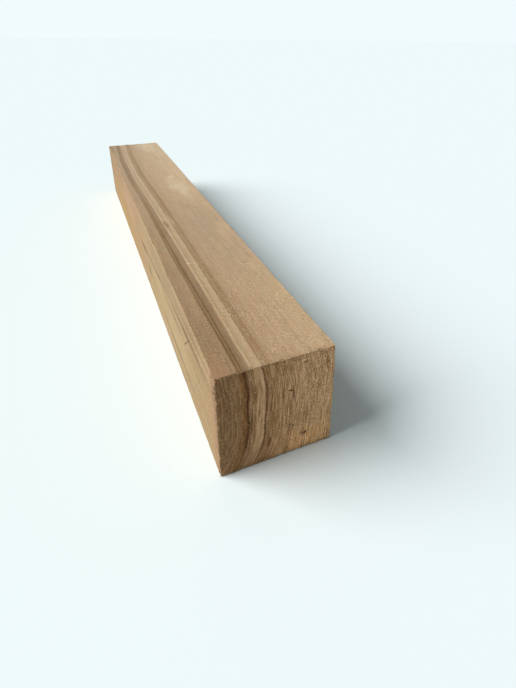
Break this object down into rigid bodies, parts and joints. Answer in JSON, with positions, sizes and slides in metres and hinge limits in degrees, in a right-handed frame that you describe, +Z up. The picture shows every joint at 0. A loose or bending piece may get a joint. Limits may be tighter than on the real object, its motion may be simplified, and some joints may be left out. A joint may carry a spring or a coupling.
{
  "type": "wooden bar",
  "caption": "Square bar of solid sawn hardwood, crosscut at both ends, used as raw stock to be cut, planed, turned or built up.",
  "frame": {"origin": "centre of the long face that the bar rests on", "axes": "+X along the grain and the length, towards the end that faces the camera; +Z up, out of the upper long face; +Y across the width"},
  "size_m": [0.6, 0.075, 0.075],
  "materials": {
    "wood": "rough sawn, unfinished"
  },
  "bodies": {
    "root": {"wooden_bar": "wood"}
  },
  "joints": []
}
